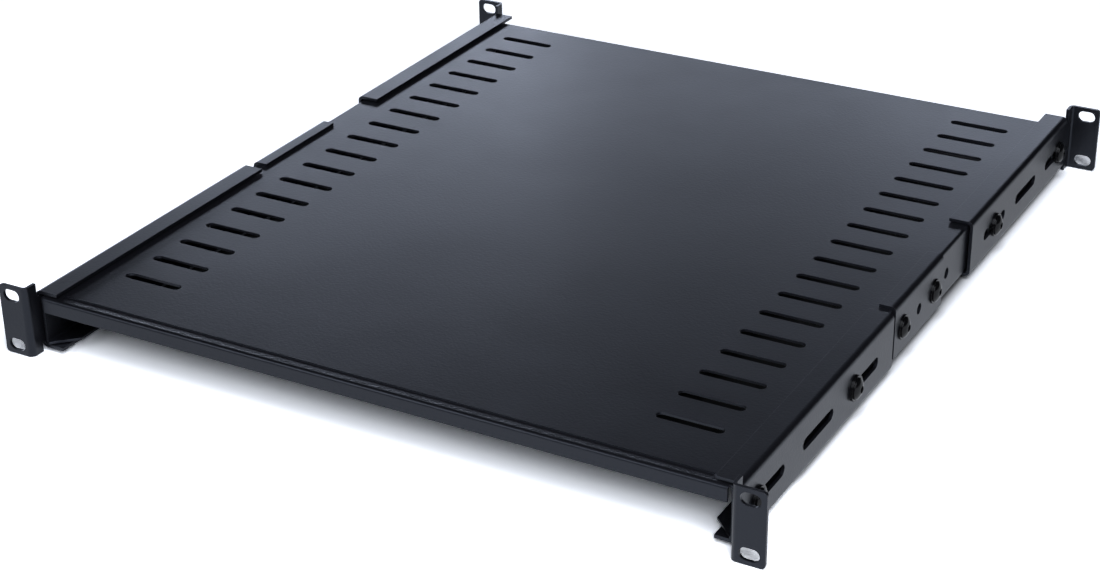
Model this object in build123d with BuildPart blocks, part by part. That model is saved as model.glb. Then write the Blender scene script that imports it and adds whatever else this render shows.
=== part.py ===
from build123d import *
import os

# Rack shelf for four posts, of adjustable depth, one rack unit high.
# Sizes are in millimetres: X across the rack, Y from the front to the back, Z up.
# The origin is the middle of the whole box, on the level of the ears' lower edges.

# The rack that the ears are screwed to
EAR_SPAN = 482.6
EAR_HOLE_EDGE = 8.75
EAR_HOLE_PITCH = 31.75
MOUNTING_DEPTH = 543.5

# Ears, folded out of the ends of the rails
EAR_HEIGHT = 44.0
EAR_CORNER_RADIUS = 2.5
EAR_HOLE_LENGTH = 11.5
EAR_HOLE_HEIGHT = 7.4
EAR_WING_LENGTH = 9.5

# Tray: one folded sheet with a lip at each end and two side walls, each with a return at its foot
TRAY_SHEET = 1.5
TRAY_BEND_RADIUS = 0.6
TRAY_SIDE_MARGIN = 21.8
TRAY_FRONT_SETBACK = 8.0
TRAY_REAR_SETBACK = 19.1
TRAY_TOP = 36.3
TRAY_WALL_HEIGHT = 31.2
TRAY_RETURN_WIDTH = 15.0
TRAY_FRONT_LIP_HEIGHT = 9.2
TRAY_LIP_END_GAP = 3.0

# Groove pressed across the tray's top, behind its front edge
GROOVE_END_GAP = 13.5
GROOVE_INSET = 5.2
GROOVE_WIDTH = 3.8
GROOVE_DEPTH = 0.7

# Vents in the tray's top
VENT_LENGTH = 39.4
VENT_WIDTH = 6.4
VENT_SIDE_INSET = 46.15
VENT_ROWS = 18
VENT_FIRST_INSET = 47.2
VENT_LAST_INSET = 28.4

# Rails: each is one folded sheet, a channel with an ear at its outer end
RAIL_SHEET = 2.0
RAIL_BEND_RADIUS = 1.5
RAIL_HEIGHT = 36.6
RAIL_FLANGE_WIDTH = 15.4
RAIL_FLANGE_RELIEF = 1.5
FLANGE_LIFT = 0.7
FRONT_RAIL_GAP = 8.5
REAR_RAIL_GAP = 47.5
SLOT_WIDTH = 7.0
SLOTS_PER_RAIL = 3
FRONT_SLOT_BRIDGE = 23.5
FRONT_SLOT_INSET = 41.75
FRONT_SLOT_END_INSET = 42.75
REAR_SLOT_BRIDGE = 20.5
REAR_SLOT_INSET = 35.15
REAR_SLOT_END_INSET = 42.35

# Brackets in the middle of the tray's sides
BRACKET_LENGTH = 77.5
BRACKET_MIDDLE_Y = -12.0
BRACKET_SHEET = 2.0
BRACKET_FLANGE_WIDTH = 10.3

# Bolts, washers, spacers and nuts
HOLE_PITCH = 25.4
BOLT_HEIGHT = 20.0
BOLT_DIAMETER = 6.0
BOLT_HOLE_DIAMETER = 7.0
BOLT_HEAD_DIAMETER = 12.5
BOLT_HEAD_HEIGHT = 3.0
BOLT_HEAD_RIM = 0.8
SOCKET_ACROSS_FLATS = 4.0
SOCKET_DEPTH = 1.8
BOLT_END_CHAMFER = 0.7
BOLT_END_PROTRUSION = 2.0
WASHER_DIAMETER = 15.0
WASHER_THICKNESS = 1.6
BRACKET_WASHER_THICKNESS = 1.0
WASHER_HOLE_DIAMETER = 6.4
SPACER_DIAMETER = 12.0
NUT_ACROSS_FLATS = 10.0
NUT_THICKNESS = 5.0
NUT_CHAMFER = 0.6
FRONT_SPACER_THICKNESS = 2.2
REAR_SPACER_THICKNESS = 0.9
SLIDE_CLEARANCE = 0.1
FRONT_CLAMP_INSET = 20.75
REAR_CLAMP_INSET = 8.3
FRONT_INNER_CLAMP_GAP = 65.3
REAR_INNER_CLAMP_GAP = 90.65

# Sizes and places worked out from the sizes above
FRONT_FACE_Y = -MOUNTING_DEPTH / 2
EAR_HOLE_X = EAR_SPAN / 2 - EAR_HOLE_EDGE
TRAY_WIDTH = EAR_SPAN - 2 * TRAY_SIDE_MARGIN
TRAY_FRONT_Y = FRONT_FACE_Y + TRAY_FRONT_SETBACK
TRAY_REAR_Y = MOUNTING_DEPTH / 2 - TRAY_REAR_SETBACK
TRAY_SIDE_X = TRAY_WIDTH / 2
TRAY_BOTTOM = TRAY_TOP - TRAY_WALL_HEIGHT
VENT_FIRST_Y = TRAY_FRONT_Y + VENT_FIRST_INSET
VENT_LAST_Y = TRAY_REAR_Y - VENT_LAST_INSET
VENT_PITCH = (VENT_LAST_Y - VENT_FIRST_Y) / (VENT_ROWS - 1)
FLANGE_TOP = TRAY_TOP + FLANGE_LIFT + RAIL_SHEET
FRONT_RAIL_INNER_X = TRAY_SIDE_X + FRONT_SPACER_THICKNESS + SLIDE_CLEARANCE
REAR_RAIL_INNER_X = TRAY_SIDE_X + REAR_SPACER_THICKNESS + SLIDE_CLEARANCE
BRACKET_TOP = TRAY_TOP + BRACKET_SHEET
BRACKET_OUTER_X = TRAY_SIDE_X + BRACKET_SHEET
BRACKET_FRONT_Y = BRACKET_MIDDLE_Y - BRACKET_LENGTH / 2
BRACKET_REAR_Y = BRACKET_MIDDLE_Y + BRACKET_LENGTH / 2
BRACKET_BOLT_YS = [BRACKET_MIDDLE_Y - HOLE_PITCH, BRACKET_MIDDLE_Y + HOLE_PITCH]
FRONT_RAIL_LENGTH = BRACKET_FRONT_Y - FRONT_RAIL_GAP - FRONT_FACE_Y
REAR_RAIL_LENGTH = -FRONT_FACE_Y - BRACKET_REAR_Y - REAR_RAIL_GAP
FRONT_CLAMP_YS = [TRAY_FRONT_Y + FRONT_CLAMP_INSET, BRACKET_FRONT_Y - FRONT_INNER_CLAMP_GAP]
REAR_CLAMP_YS = [TRAY_REAR_Y - REAR_CLAMP_INSET, BRACKET_REAR_Y + REAR_INNER_CLAMP_GAP]
SPARE_HOLE_YS = [BRACKET_MIDDLE_Y, BRACKET_MIDDLE_Y + 2 * HOLE_PITCH]


def folded_sheet(plane, corners, sheet, inside_radius, length):
    """A strip of sheet that follows the corners of its middle line, bent at each of them."""
    with BuildPart() as strip:
        with BuildSketch(plane):
            with BuildLine():
                FilletPolyline(*corners, radius=inside_radius + sheet / 2)
            trace(line_width=sheet)
        extrude(amount=length)
    return strip.part


def left_of(right_piece):
    """The left-hand twin of a piece of the right side."""
    with BuildPart() as twin:
        mirror(right_piece, about=Plane.YZ)
    return twin.part


def make_tray():
    """The top sheet, its walls with their returns, its lips, the vents, the groove and the side holes."""
    half_sheet = TRAY_SHEET / 2
    outer_radius = TRAY_BEND_RADIUS + TRAY_SHEET
    wall_x = TRAY_SIDE_X - half_sheet
    return_edge_x = TRAY_SIDE_X - TRAY_RETURN_WIDTH
    sheet_z = TRAY_TOP - half_sheet
    return_z = TRAY_BOTTOM + half_sheet
    front_lip_y = TRAY_FRONT_Y + half_sheet
    rear_lip_y = TRAY_REAR_Y - half_sheet
    walls_front_y = TRAY_FRONT_Y + outer_radius
    walls_rear_y = TRAY_REAR_Y - outer_radius
    lip_width = TRAY_WIDTH - 2 * TRAY_LIP_END_GAP
    walls = folded_sheet(
        Plane.XZ.offset(-walls_rear_y),
        [
            (-return_edge_x, return_z),
            (-wall_x, return_z),
            (-wall_x, sheet_z),
            (wall_x, sheet_z),
            (wall_x, return_z),
            (return_edge_x, return_z),
        ],
        TRAY_SHEET,
        TRAY_BEND_RADIUS,
        walls_rear_y - walls_front_y,
    )
    lips = folded_sheet(
        Plane.YZ.offset(-lip_width / 2),
        [
            (front_lip_y, TRAY_TOP - TRAY_FRONT_LIP_HEIGHT),
            (front_lip_y, sheet_z),
            (rear_lip_y, sheet_z),
            (rear_lip_y, TRAY_BOTTOM),
        ],
        TRAY_SHEET,
        TRAY_BEND_RADIUS,
        lip_width,
    )
    groove_length = TRAY_WIDTH - 2 * GROOVE_END_GAP
    mitre_x = TRAY_SIDE_X - outer_radius
    mitre = mitre_x - return_edge_x
    hole_ys = FRONT_CLAMP_YS + REAR_CLAMP_YS + BRACKET_BOLT_YS + SPARE_HOLE_YS
    with BuildPart() as tray:
        add(walls)
        with BuildSketch(Plane.XY.offset(TRAY_BOTTOM)):
            for side in (-1, 1):
                for end_y, inward in ((walls_front_y, 1), (walls_rear_y, -1)):
                    with BuildLine():
                        Polyline(
                            (side * return_edge_x, end_y),
                            (side * mitre_x, end_y),
                            (side * return_edge_x, end_y + inward * mitre),
                            close=True,
                        )
                    make_face()
        extrude(amount=TRAY_SHEET, mode=Mode.SUBTRACT)
        add(lips)
        with BuildSketch(Plane.XY.offset(TRAY_TOP)):
            with Locations((0, (VENT_FIRST_Y + VENT_LAST_Y) / 2)):
                with GridLocations(TRAY_WIDTH - 2 * VENT_SIDE_INSET, VENT_PITCH, 2, VENT_ROWS):
                    SlotOverall(VENT_LENGTH, VENT_WIDTH)
        extrude(amount=-TRAY_SHEET, mode=Mode.SUBTRACT)
        with BuildSketch(Plane.XY.offset(TRAY_TOP)):
            with Locations((0, TRAY_FRONT_Y + GROOVE_INSET)):
                Rectangle(groove_length, GROOVE_WIDTH, align=(Align.CENTER, Align.MIN))
        extrude(amount=-GROOVE_DEPTH, mode=Mode.SUBTRACT)
        with BuildSketch(Plane.YZ):
            with Locations(*[(y, BOLT_HEIGHT) for y in hole_ys]):
                Circle(BOLT_HOLE_DIAMETER / 2)
        extrude(amount=TRAY_WIDTH, both=True, mode=Mode.SUBTRACT)
    return tray.part


def make_front_rail(inner_x, length, slot_bridge, slot_inset, slot_end_inset):
    """A right-hand rail with its ear towards the front.

    The channel's wall runs on past the flanges as a wing as high as the ear, and the ear is
    folded outward from it. Two short reliefs part the wing from the flanges.
    """
    half_sheet = RAIL_SHEET / 2
    outer_radius = RAIL_BEND_RADIUS + RAIL_SHEET
    wall_x = inner_x + half_sheet
    flange_x = inner_x + RAIL_SHEET - RAIL_FLANGE_WIDTH
    rail_bottom = FLANGE_TOP - RAIL_HEIGHT
    wing_end_y = FRONT_FACE_Y + EAR_WING_LENGTH
    flange_start_y = wing_end_y + RAIL_FLANGE_RELIEF
    rail_end_y = FRONT_FACE_Y + length
    slot_pitch = (length - slot_inset - slot_end_inset) / (SLOTS_PER_RAIL - 1)
    slot_ys = [FRONT_FACE_Y + slot_inset + slot_pitch * i for i in range(SLOTS_PER_RAIL)]
    channel = folded_sheet(
        Plane.XZ.offset(-rail_end_y),
        [
            (flange_x, FLANGE_TOP - half_sheet),
            (wall_x, FLANGE_TOP - half_sheet),
            (wall_x, rail_bottom + half_sheet),
            (flange_x, rail_bottom + half_sheet),
        ],
        RAIL_SHEET,
        RAIL_BEND_RADIUS,
        rail_end_y - flange_start_y,
    )
    ear = folded_sheet(
        Plane.XY,
        [
            (EAR_SPAN / 2, FRONT_FACE_Y + half_sheet),
            (wall_x, FRONT_FACE_Y + half_sheet),
            (wall_x, wing_end_y),
        ],
        RAIL_SHEET,
        RAIL_BEND_RADIUS,
        EAR_HEIGHT,
    )
    neck_height = RAIL_HEIGHT - 2 * outer_radius
    with BuildPart() as rail:
        add(channel)
        add(ear)
        with BuildSketch(Plane.YZ.offset(inner_x)):
            with Locations((wing_end_y, rail_bottom + RAIL_HEIGHT / 2)):
                Rectangle(RAIL_FLANGE_RELIEF, neck_height, align=(Align.MIN, Align.CENTER))
        extrude(amount=RAIL_SHEET)
        ear_corners = rail.edges().filter_by(Axis.Y).group_by(Axis.X)[-1]
        fillet(ear_corners, radius=EAR_CORNER_RADIUS)
        with BuildSketch(Plane.XZ.offset(-FRONT_FACE_Y)):
            with Locations((EAR_HOLE_X, EAR_HEIGHT / 2)):
                with GridLocations(0, EAR_HOLE_PITCH, 1, 2):
                    SlotOverall(EAR_HOLE_LENGTH, EAR_HOLE_HEIGHT)
        extrude(amount=-RAIL_SHEET, mode=Mode.SUBTRACT)
        with BuildSketch(Plane.YZ.offset(inner_x)):
            with Locations(*[(y, BOLT_HEIGHT) for y in slot_ys]):
                SlotOverall(slot_pitch - slot_bridge, SLOT_WIDTH)
        extrude(amount=RAIL_SHEET, mode=Mode.SUBTRACT)
    return rail.part


def turned_to_rear(front_piece):
    """The same piece with its ear towards the back."""
    with BuildPart() as turned:
        mirror(front_piece, about=Plane.XZ)
    return turned.part


def make_bracket():
    """The right-hand angle on the tray's side, with two bolt holes and a spare one between."""
    half_sheet = BRACKET_SHEET / 2
    angle = folded_sheet(
        Plane.XZ.offset(-BRACKET_REAR_Y),
        [
            (BRACKET_OUTER_X - BRACKET_FLANGE_WIDTH, BRACKET_TOP - half_sheet),
            (BRACKET_OUTER_X - half_sheet, BRACKET_TOP - half_sheet),
            (BRACKET_OUTER_X - half_sheet, TRAY_BOTTOM),
        ],
        BRACKET_SHEET,
        RAIL_BEND_RADIUS,
        BRACKET_LENGTH,
    )
    with BuildPart() as bracket:
        add(angle)
        with BuildSketch(Plane.YZ.offset(TRAY_SIDE_X)):
            with Locations(*[(y, BOLT_HEIGHT) for y in BRACKET_BOLT_YS + [BRACKET_MIDDLE_Y]]):
                Circle(BOLT_HOLE_DIAMETER / 2)
        extrude(amount=BRACKET_SHEET, mode=Mode.SUBTRACT)
    return bracket.part


def make_bolt(grip):
    """A domed socket bolt along Z, its head's seat at zero and its shank downward."""
    head_radius = BOLT_HEAD_DIAMETER / 2
    shank_radius = BOLT_DIAMETER / 2
    shank_length = grip + NUT_THICKNESS + BOLT_END_PROTRUSION
    chamfer_z = BOLT_END_CHAMFER - shank_length
    dome_height = BOLT_HEAD_HEIGHT - BOLT_HEAD_RIM
    dome_radius = (head_radius**2 + dome_height**2) / (2 * dome_height)
    with BuildPart() as bolt:
        with BuildSketch(Plane.XZ):
            with BuildLine():
                Line((0, -shank_length), (shank_radius - BOLT_END_CHAMFER, -shank_length))
                Line((shank_radius - BOLT_END_CHAMFER, -shank_length), (shank_radius, chamfer_z))
                Line((shank_radius, chamfer_z), (shank_radius, 0))
                Line((shank_radius, 0), (head_radius, 0))
                Line((head_radius, 0), (head_radius, BOLT_HEAD_RIM))
                RadiusArc((head_radius, BOLT_HEAD_RIM), (0, BOLT_HEAD_HEIGHT), -dome_radius)
                Line((0, BOLT_HEAD_HEIGHT), (0, -shank_length))
            make_face()
        revolve(axis=Axis.Z)
        with BuildSketch(Plane.XY.offset(BOLT_HEAD_HEIGHT)):
            RegularPolygon(SOCKET_ACROSS_FLATS / 2, side_count=6, major_radius=False)
        extrude(amount=-SOCKET_DEPTH, mode=Mode.SUBTRACT)
    return bolt.part


def make_ring(diameter, thickness):
    """A flat ring along Z from zero upward, with the washers' bore."""
    with BuildPart() as ring:
        with BuildSketch():
            Circle(diameter / 2)
            Circle(WASHER_HOLE_DIAMETER / 2, mode=Mode.SUBTRACT)
        extrude(amount=thickness)
    return ring.part


def make_nut():
    """A hexagon nut along Z from zero downward, with chamfered corners and a plain bore."""
    corner_radius = NUT_ACROSS_FLATS / 2 + NUT_CHAMFER
    with BuildPart() as nut:
        with BuildSketch():
            RegularPolygon(NUT_ACROSS_FLATS / 2, side_count=6, major_radius=False)
        extrude(amount=-NUT_THICKNESS)
        with BuildSketch(mode=Mode.PRIVATE) as outline:
            Circle(corner_radius)
        extrude(outline.sketch, amount=-NUT_THICKNESS, mode=Mode.INTERSECT)
        with BuildSketch():
            Circle(BOLT_DIAMETER / 2)
        extrude(amount=-NUT_THICKNESS, mode=Mode.SUBTRACT)
    return nut.part


def set_of(piece, side, seat_x, places_y):
    """Copies of a fastener on one side, each with its axis pointing outward from its seat."""
    seats = [
        Plane(origin=(side * seat_x, y, BOLT_HEIGHT), x_dir=(0, 0, 1), z_dir=(side, 0, 0))
        for y in places_y
    ]
    with BuildPart() as group:
        with Locations(*seats):
            add(piece)
    return group.part


def save(piece, name):
    """Labels a finished piece and writes it to its own file."""
    piece.label = name
    export_step(piece, f"parts/{name}.step")


os.makedirs("parts", exist_ok=True)

save(make_tray(), "shelf_tray")

front_right_rail = make_front_rail(
    FRONT_RAIL_INNER_X, FRONT_RAIL_LENGTH, FRONT_SLOT_BRIDGE, FRONT_SLOT_INSET, FRONT_SLOT_END_INSET
)
rear_right_rail = turned_to_rear(
    make_front_rail(
        REAR_RAIL_INNER_X, REAR_RAIL_LENGTH, REAR_SLOT_BRIDGE, REAR_SLOT_INSET, REAR_SLOT_END_INSET
    )
)
right_bracket = make_bracket()
save(front_right_rail, "front_right_rail")
save(left_of(front_right_rail), "front_left_rail")
save(rear_right_rail, "rear_right_rail")
save(left_of(rear_right_rail), "rear_left_rail")
save(right_bracket, "right_bracket")
save(left_of(right_bracket), "left_bracket")

nut_seat_x = TRAY_SIDE_X - TRAY_SHEET
clamp_sets = {
    "front": (FRONT_RAIL_INNER_X + RAIL_SHEET, FRONT_SPACER_THICKNESS, FRONT_CLAMP_YS),
    "rear": (REAR_RAIL_INNER_X + RAIL_SHEET, REAR_SPACER_THICKNESS, REAR_CLAMP_YS),
}
for side_name, side in {"left": -1, "right": 1}.items():
    for end_name, (rail_face_x, spacer_thickness, clamp_ys) in clamp_sets.items():
        washer_seat_x = rail_face_x + SLIDE_CLEARANCE
        head_seat_x = washer_seat_x + WASHER_THICKNESS
        corner = f"{end_name}_{side_name}"
        clamp_bolt = make_bolt(head_seat_x - nut_seat_x)
        washer = make_ring(WASHER_DIAMETER, WASHER_THICKNESS)
        spacer = make_ring(SPACER_DIAMETER, spacer_thickness)
        save(set_of(clamp_bolt, side, head_seat_x, clamp_ys), f"{corner}_clamp_bolts")
        save(set_of(washer, side, washer_seat_x, clamp_ys), f"{corner}_washers")
        save(set_of(spacer, side, TRAY_SIDE_X, clamp_ys), f"{corner}_spacers")
        save(set_of(make_nut(), side, nut_seat_x, clamp_ys), f"{corner}_nuts")
    head_seat_x = BRACKET_OUTER_X + BRACKET_WASHER_THICKNESS
    bracket_bolt = make_bolt(head_seat_x - nut_seat_x)
    bracket_washer = make_ring(WASHER_DIAMETER, BRACKET_WASHER_THICKNESS)
    save(set_of(bracket_bolt, side, head_seat_x, BRACKET_BOLT_YS), f"{side_name}_bracket_bolts")
    save(set_of(bracket_washer, side, BRACKET_OUTER_X, BRACKET_BOLT_YS), f"{side_name}_bracket_washers")
    save(set_of(make_nut(), side, nut_seat_x, BRACKET_BOLT_YS), f"{side_name}_bracket_nuts")
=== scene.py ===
import math

import bpy
from mathutils import Matrix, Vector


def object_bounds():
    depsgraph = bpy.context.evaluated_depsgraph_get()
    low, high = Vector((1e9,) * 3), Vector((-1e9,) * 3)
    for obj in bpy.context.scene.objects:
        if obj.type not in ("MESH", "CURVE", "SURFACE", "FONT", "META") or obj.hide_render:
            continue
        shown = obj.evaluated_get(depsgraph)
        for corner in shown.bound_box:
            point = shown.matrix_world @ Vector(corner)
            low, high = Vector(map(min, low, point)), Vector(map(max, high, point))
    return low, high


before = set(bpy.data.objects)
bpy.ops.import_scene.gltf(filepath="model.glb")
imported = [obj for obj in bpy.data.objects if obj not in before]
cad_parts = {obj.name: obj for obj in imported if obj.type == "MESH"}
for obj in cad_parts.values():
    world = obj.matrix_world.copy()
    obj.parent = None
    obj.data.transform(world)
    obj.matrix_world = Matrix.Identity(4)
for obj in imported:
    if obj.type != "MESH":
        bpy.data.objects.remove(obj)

CAD_LOW, CAD_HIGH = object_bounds()
MM = 0.001

# Camera: the photograph's viewpoint in metres and degrees, for a frame of 1100 by 576 pixels
CAMERA_PLACE = (0.60042, -1.11969, 0.62153)
CAMERA_AZIMUTH = 29.397
CAMERA_ELEVATION = 26.939
CAMERA_ROLL = -0.753
CAMERA_LENS = 73.378
CAMERA_SENSOR = 36.0
CAMERA_CLIP = (0.05, 50.0)

# Colours, as they would be picked from a screen
COAT_HEX = "#101013"
COAT_SHEEN_HEX = "#e3ecff"
OXIDE_HEX = "#0a0a0b"
ZINC_HEX = "#b4b8bd"
FLOOR_HEX = "#f4f4f4"
SURROUND_HEX = "#ffffff"
FRONT_LIGHT_HEX = "#f1f6ff"
LOW_LIGHT_HEX = "#e2ebff"

# Softboxes: azimuth and elevation in degrees, distance in metres, size, watts and colour
FRONT_SIZE = (1.2, 0.9)
LOW_SIZE = (0.7, 0.35)
SOFTBOXES = {
    "high_front_right": (216, 60, 2.4, FRONT_SIZE, 34.0, FRONT_LIGHT_HEX),
    "front_right": (218, 35, 2.4, FRONT_SIZE, 29.0, FRONT_LIGHT_HEX),
    "front_left": (150, 32, 2.4, FRONT_SIZE, 10.0, FRONT_LIGHT_HEX),
    "low_back": (8, 17, 2.6, LOW_SIZE, 3.3, LOW_LIGHT_HEX),
    "back_left_near": (24, 17, 2.6, LOW_SIZE, 2.1, LOW_LIGHT_HEX),
    "back_left": (38, 17, 2.6, LOW_SIZE, 3.6, LOW_LIGHT_HEX),
    "low_left": (52, 7, 2.6, LOW_SIZE, 7.0, LOW_LIGHT_HEX),
}

# Floor, in metres: its size, how far under the ears it lies, and where it starts and ends to fade;
# how bright the camera sees the paper, and the painted shade on the paper under the tray's middle
FLOOR_HALF_SIZE = 3.0
FLOOR_DROP = 0.0005
FLOOR_FADE = (0.75, 1.3)
FLOOR_SEEN = 1.8
PAINTED_SHADE_SEEN = 0.02
PAINTED_SHADE_MIDDLE = (0.0, 0.036)
PAINTED_SHADE_HALF = (0.212, 0.2145)
PAINTED_SHADE_FADE = 0.02

# Edges of every finish, in millimetres, and the rays that look for them
EDGE_ROUND = 0.3
EDGE_SAMPLES = 4

# Powder coat: widths and depths in millimetres, and how many finer layers a pattern has
PANEL_WAVE = 110.0
PANEL_DEPTH = 0.35
PANEL_DETAIL = 1.0
PEEL_GRAIN = 1.6
PEEL_DEPTH = 0.06
PEEL_DETAIL = 1.0
COARSE_GRAIN = 1.4
COARSE_DEPTH = 0.3
COARSE_DETAIL = 2.0
GROOVE_Y = -260.3
GROOVE_HALF = 0.5
GROOVE_FADE = 0.7
GLOSS_CLOUD = 35.0
GLOSS_DETAIL = 4.0
GLOSS_NOISE = (0.3, 0.7)
COAT_ROUGHNESS = (0.285, 0.315)
COAT_IOR = 1.5

# Black oxide: an M6 thread on the shanks, inside the tray's walls, in millimetres; Blender's
# wave texture turns through 20 radians in each unit of its scale
THREAD_PITCH = 1.0
THREAD_DEPTH = 0.5
TRAY_SIDE = 219.5
WAVE_TURN = 20.0
OXIDE_ROUGHNESS = 0.14
OXIDE_IOR = 1.5
OXIDE_SPECULAR = 0.25

# Zinc plate: grains in millimetres
ZINC_GRAIN = 0.6
ZINC_DETAIL = 3.0
ZINC_ROUGHNESS = (0.25, 0.5)


def linear(code):
    """The linear colour of an sRGB hex code, by the sRGB curve, with an alpha of 1."""
    channels = [int(code[i : i + 2], 16) / 255 for i in (1, 3, 5)]
    curved = [c / 12.92 if c <= 0.04045 else ((c + 0.055) / 1.055) ** 2.4 for c in channels]
    return (*curved, 1.0)


def add_node(tree, kind, settings=None, **inputs):
    """Adds a node with its settings; each input is a value or another node's output.

    An input goes by its name, with _ for a space, or where two share a name by its
    identifier, such as Value_001 for the second Value.
    """
    node = tree.nodes.new(kind)
    for name, value in (settings or {}).items():
        setattr(node, name, value)
    for name, value in inputs.items():
        socket = next(s for s in node.inputs if name in (s.name.replace(" ", "_"), s.identifier))
        if isinstance(value, bpy.types.NodeSocket):
            tree.links.new(value, socket)
        else:
            socket.default_value = value
    return node


def new_material(name):
    """An empty node material, as (material, tree)."""
    material = bpy.data.materials.new(name)
    material.use_nodes = True
    material.node_tree.nodes.clear()
    return material, material.node_tree


def near_line(tree, coordinate, middle, half, fade, blend):
    """A mask on one coordinate: 1 within half of the line at middle, 0 from half + fade on."""
    offset = add_node(
        tree, "ShaderNodeMath", {"operation": "SUBTRACT"}, Value=coordinate, Value_001=middle
    )
    away = add_node(
        tree, "ShaderNodeMath", {"operation": "ABSOLUTE"}, Value=offset.outputs["Value"]
    )
    mask = add_node(
        tree,
        "ShaderNodeMapRange",
        {"interpolation_type": blend},
        Value=away.outputs["Value"],
        From_Min=half + fade,
        From_Max=half,
    )
    return mask.outputs["Result"]


def powder_coat(name, coarse_groove):
    """Black polyester powder coat, sprayed as dry powder and baked on the steel.

    The powder melts into a skin that is a little uneven, so the gloss is soft, with a fine
    orange-peel grain that shows where a light grazes it, and the skin rounds the sheet's cut
    edges, which catch thin lines of light. The real grain is about 0.5 mm across; it is drawn
    three times as coarse, so that it shows. A broad shallow wave is the thin panel's own,
    which is never quite flat, and a faint cloud is where the skin is thicker. On the tray the
    powder gathers in the groove behind the front edge, in coarser grains that glint.
    """
    material, tree = new_material(name)
    place = add_node(tree, "ShaderNodeTexCoord").outputs["Object"]
    edge = add_node(tree, "ShaderNodeBevel", {"samples": EDGE_SAMPLES}, Radius=EDGE_ROUND * MM)
    wave = add_node(
        tree,
        "ShaderNodeTexNoise",
        Vector=place,
        Scale=1 / (PANEL_WAVE * MM),
        Detail=PANEL_DETAIL,
    )
    panel = add_node(
        tree,
        "ShaderNodeBump",
        Height=wave.outputs["Fac"],
        Distance=PANEL_DEPTH * MM,
        Normal=edge.outputs["Normal"],
    )
    peel = add_node(
        tree,
        "ShaderNodeTexNoise",
        Vector=place,
        Scale=1 / (PEEL_GRAIN * MM),
        Detail=PEEL_DETAIL,
    )
    skin = add_node(
        tree,
        "ShaderNodeBump",
        Height=peel.outputs["Fac"],
        Distance=PEEL_DEPTH * MM,
        Normal=panel.outputs["Normal"],
    )
    if coarse_groove:
        along = add_node(tree, "ShaderNodeSeparateXYZ", Vector=place).outputs["Y"]
        groove = near_line(
            tree, along, GROOVE_Y * MM, GROOVE_HALF * MM, GROOVE_FADE * MM, "LINEAR"
        )
        grains = add_node(
            tree,
            "ShaderNodeTexNoise",
            Vector=place,
            Scale=1 / (COARSE_GRAIN * MM),
            Detail=COARSE_DETAIL,
        )
        skin = add_node(
            tree,
            "ShaderNodeBump",
            Height=grains.outputs["Fac"],
            Strength=groove,
            Distance=COARSE_DEPTH * MM,
            Normal=skin.outputs["Normal"],
        )
    cloud = add_node(
        tree,
        "ShaderNodeTexNoise",
        Vector=place,
        Scale=1 / (GLOSS_CLOUD * MM),
        Detail=GLOSS_DETAIL,
    )
    gloss = add_node(
        tree,
        "ShaderNodeMapRange",
        Value=cloud.outputs["Fac"],
        From_Min=GLOSS_NOISE[0],
        From_Max=GLOSS_NOISE[1],
        To_Min=COAT_ROUGHNESS[0],
        To_Max=COAT_ROUGHNESS[1],
    )
    shader = add_node(
        tree,
        "ShaderNodeBsdfPrincipled",
        Base_Color=linear(COAT_HEX),
        Roughness=gloss.outputs["Result"],
        IOR=COAT_IOR,
        Specular_Tint=linear(COAT_SHEEN_HEX),
        Normal=skin.outputs["Normal"],
    )
    add_node(tree, "ShaderNodeOutputMaterial", Surface=shader.outputs["BSDF"])
    return material


def black_oxide():
    """Black-oxide steel, dipped in a hot bath and oiled: near black, with a crisp gloss.

    The screw thread is a wave across the shank, a pitch long, on the stretch inside the tray's
    walls. The cut edges of heads and washers are a little rounded by tumbling.
    """
    material, tree = new_material("black_oxide_steel")
    place = add_node(tree, "ShaderNodeTexCoord").outputs["Object"]
    across = add_node(tree, "ShaderNodeSeparateXYZ", Vector=place).outputs["X"]
    off_middle = add_node(tree, "ShaderNodeMath", {"operation": "ABSOLUTE"}, Value=across)
    inside = add_node(
        tree,
        "ShaderNodeMath",
        {"operation": "LESS_THAN"},
        Value=off_middle.outputs["Value"],
        Value_001=TRAY_SIDE * MM,
    )
    thread = add_node(
        tree,
        "ShaderNodeTexWave",
        {"wave_type": "BANDS", "bands_direction": "X", "wave_profile": "TRI"},
        Vector=place,
        Scale=math.tau / (WAVE_TURN * THREAD_PITCH * MM),
    )
    edge = add_node(tree, "ShaderNodeBevel", {"samples": EDGE_SAMPLES}, Radius=EDGE_ROUND * MM)
    ridges = add_node(
        tree,
        "ShaderNodeBump",
        Height=thread.outputs["Fac"],
        Strength=inside.outputs["Value"],
        Distance=THREAD_DEPTH * MM,
        Normal=edge.outputs["Normal"],
    )
    shader = add_node(
        tree,
        "ShaderNodeBsdfPrincipled",
        Base_Color=linear(OXIDE_HEX),
        Roughness=OXIDE_ROUGHNESS,
        IOR=OXIDE_IOR,
        Specular_IOR_Level=OXIDE_SPECULAR,
        Normal=ridges.outputs["Normal"],
    )
    add_node(tree, "ShaderNodeOutputMaterial", Surface=shader.outputs["BSDF"])
    return material


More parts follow.
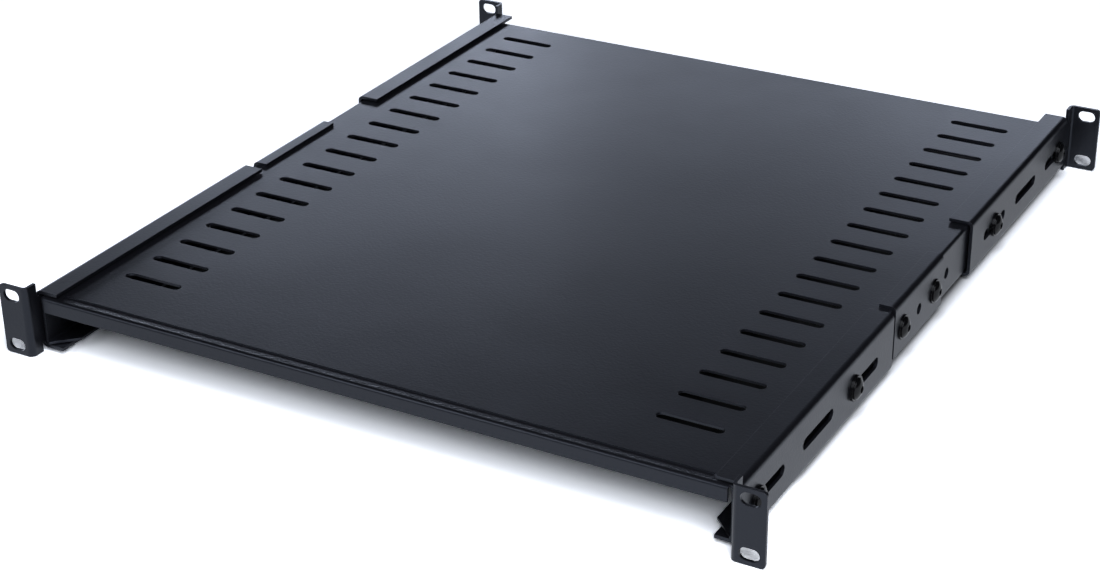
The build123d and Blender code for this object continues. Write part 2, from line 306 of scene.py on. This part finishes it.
def zinc_plate():
    """Bright zinc plate, electroplated on steel: pale metal with a satin sheen.

    The bath leaves fine grains, which break the gloss up, and the edges stay softly rounded.
    The real grains are far under a tenth of a millimetre; they are drawn coarse enough to show.
    """
    material, tree = new_material("bright_zinc_plate")
    place = add_node(tree, "ShaderNodeTexCoord").outputs["Object"]
    edge = add_node(tree, "ShaderNodeBevel", {"samples": EDGE_SAMPLES}, Radius=EDGE_ROUND * MM)
    grain = add_node(
        tree,
        "ShaderNodeTexNoise",
        Vector=place,
        Scale=1 / (ZINC_GRAIN * MM),
        Detail=ZINC_DETAIL,
    )
    gloss = add_node(
        tree,
        "ShaderNodeMapRange",
        Value=grain.outputs["Fac"],
        To_Min=ZINC_ROUGHNESS[0],
        To_Max=ZINC_ROUGHNESS[1],
    )
    shader = add_node(
        tree,
        "ShaderNodeBsdfPrincipled",
        Base_Color=linear(ZINC_HEX),
        Metallic=1.0,
        Roughness=gloss.outputs["Result"],
        Normal=edge.outputs["Normal"],
    )
    add_node(tree, "ShaderNodeOutputMaterial", Surface=shader.outputs["BSDF"])
    return material


def dress(node_name, material):
    """Gives a CAD node its finish."""
    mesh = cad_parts[node_name].data
    mesh.materials.clear()
    mesh.materials.append(material)


def dress_nodes():
    """Sheet metal gets the powder coat, bolts and washers the oxide, nuts and spacers the zinc."""
    coat = powder_coat("black_powder_coat", False)
    tray_coat = powder_coat("black_powder_coat_of_tray", True)
    oxide = black_oxide()
    zinc = zinc_plate()
    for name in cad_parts:
        if name.endswith(("bolts", "washers")):
            dress(name, oxide)
        elif name.endswith(("nuts", "spacers")):
            dress(name, zinc)
        elif name == "shelf_tray":
            dress(name, tray_coat)
        else:
            dress(name, coat)


def floor_paper():
    """Pale matt paper, whose look to the camera differs from the light that it gives back.

    The camera sees it a little paler, so that its lit part is white. Under the middle of the tray
    the camera sees it painted dark, a painted shadow, so that the vents look black. From below it
    is clear, which leaves the underside in view, and far out the camera sees it fade into the
    white surround.
    """
    material, tree = new_material("floor_paper")
    place = add_node(tree, "ShaderNodeTexCoord").outputs["Object"]
    axes = add_node(tree, "ShaderNodeSeparateXYZ", Vector=place)
    # Painted shade: a mask of the tray's middle, where the camera sees the paper painted dark
    across, along = (
        near_line(tree, axes.outputs[axis], middle, half, PAINTED_SHADE_FADE, "SMOOTHSTEP")
        for axis, middle, half in zip("XY", PAINTED_SHADE_MIDDLE, PAINTED_SHADE_HALF)
    )
    under = add_node(
        tree, "ShaderNodeMath", {"operation": "MULTIPLY"}, Value=across, Value_001=along
    )
    # The paper as the camera sees it: paler all over, with a painted shadow under the tray's
    # middle
    seen = add_node(
        tree,
        "ShaderNodeMapRange",
        Value=under.outputs["Value"],
        To_Min=FLOOR_SEEN,
        To_Max=PAINTED_SHADE_SEEN,
    )
    path = add_node(tree, "ShaderNodeLightPath")
    shade = add_node(
        tree,
        "ShaderNodeMapRange",
        Value=path.outputs["Is Camera Ray"],
        To_Min=linear(FLOOR_HEX)[0],
        To_Max=seen.outputs["Result"],
    )
    paper = add_node(tree, "ShaderNodeBsdfDiffuse", Color=shade.outputs["Result"])
    reach = add_node(tree, "ShaderNodeVectorMath", {"operation": "LENGTH"}, Vector=place)
    far_out = add_node(
        tree,
        "ShaderNodeMapRange",
        {"interpolation_type": "SMOOTHSTEP"},
        Value=reach.outputs["Value"],
        From_Min=FLOOR_FADE[0],
        From_Max=FLOOR_FADE[1],
        To_Max=path.outputs["Is Camera Ray"],
    )
    facing = add_node(tree, "ShaderNodeNewGeometry")
    hidden = add_node(
        tree,
        "ShaderNodeMath",
        {"operation": "MAXIMUM"},
        Value=facing.outputs["Backfacing"],
        Value_001=far_out.outputs["Result"],
    )
    clear = add_node(tree, "ShaderNodeBsdfTransparent")
    shader = add_node(
        tree,
        "ShaderNodeMixShader",
        Fac=hidden.outputs["Value"],
        Shader=paper.outputs["BSDF"],
        Shader_001=clear.outputs["BSDF"],
    )
    add_node(tree, "ShaderNodeOutputMaterial", Surface=shader.outputs["Shader"])
    return material


def make_floor():
    """A plain pale floor just under the ears, which keeps the shelf's shadow."""
    half = FLOOR_HALF_SIZE
    level = CAD_LOW.z - FLOOR_DROP
    corners = [(x * half, y * half, level) for x, y in ((-1, -1), (1, -1), (1, 1), (-1, 1))]
    mesh = bpy.data.meshes.new("floor")
    mesh.from_pydata(corners, [], [(0, 1, 2, 3)])
    mesh.materials.append(floor_paper())
    floor = bpy.data.objects.new("floor", mesh)
    bpy.context.scene.collection.objects.link(floor)


def make_surround():
    """A dark surround, which the camera itself sees as white."""
    world = bpy.data.worlds.new("studio")
    bpy.context.scene.world = world
    world.use_nodes = True
    tree = world.node_tree
    tree.nodes.clear()
    path = add_node(tree, "ShaderNodeLightPath")
    background = add_node(
        tree,
        "ShaderNodeBackground",
        Color=linear(SURROUND_HEX),
        Strength=path.outputs["Is Camera Ray"],
    )
    add_node(tree, "ShaderNodeOutputWorld", Surface=background.outputs["Background"])


def add_softbox(name, azimuth, elevation, distance, size, power, tint):
    """A soft rectangular light that looks at the shelf's middle.

    Its azimuth is counted in degrees from straight behind the shelf towards the left, and its
    size is its width and height in metres.
    """
    light = bpy.data.lights.new(name, "AREA")
    light.shape = "RECTANGLE"
    light.size, light.size_y = size
    light.energy = power
    light.color = linear(tint)[:3]
    lamp = bpy.data.objects.new(name, light)
    bpy.context.scene.collection.objects.link(lamp)
    turn, lift = math.radians(azimuth), math.radians(elevation)
    flat = distance * math.cos(lift)
    lamp.location = (-flat * math.sin(turn), flat * math.cos(turn), distance * math.sin(lift))
    lamp.rotation_euler = lamp.location.to_track_quat("Z", "Y").to_euler()


def make_lights():
    """Large softboxes in front, and low ones behind that the black coat mirrors."""
    for name, box in SOFTBOXES.items():
        add_softbox(name, *box)


def make_camera():
    """The camera at the photograph's place: turned up from straight down, about Z, then rolled."""
    data = bpy.data.cameras.new("camera")
    data.lens = CAMERA_LENS
    data.sensor_width = CAMERA_SENSOR
    data.clip_start, data.clip_end = CAMERA_CLIP
    camera = bpy.data.objects.new("camera", data)
    bpy.context.scene.collection.objects.link(camera)
    turn = Matrix.Rotation(math.radians(CAMERA_AZIMUTH), 4, "Z")
    tilt = Matrix.Rotation(math.radians(90 - CAMERA_ELEVATION), 4, "X")
    roll = Matrix.Rotation(math.radians(CAMERA_ROLL), 4, "Z")
    camera.matrix_world = Matrix.Translation(CAMERA_PLACE) @ turn @ tilt @ roll
    bpy.context.scene.camera = camera


dress_nodes()
make_floor()
make_surround()
make_lights()
make_camera()
bpy.context.scene.view_settings.view_transform = "Standard"
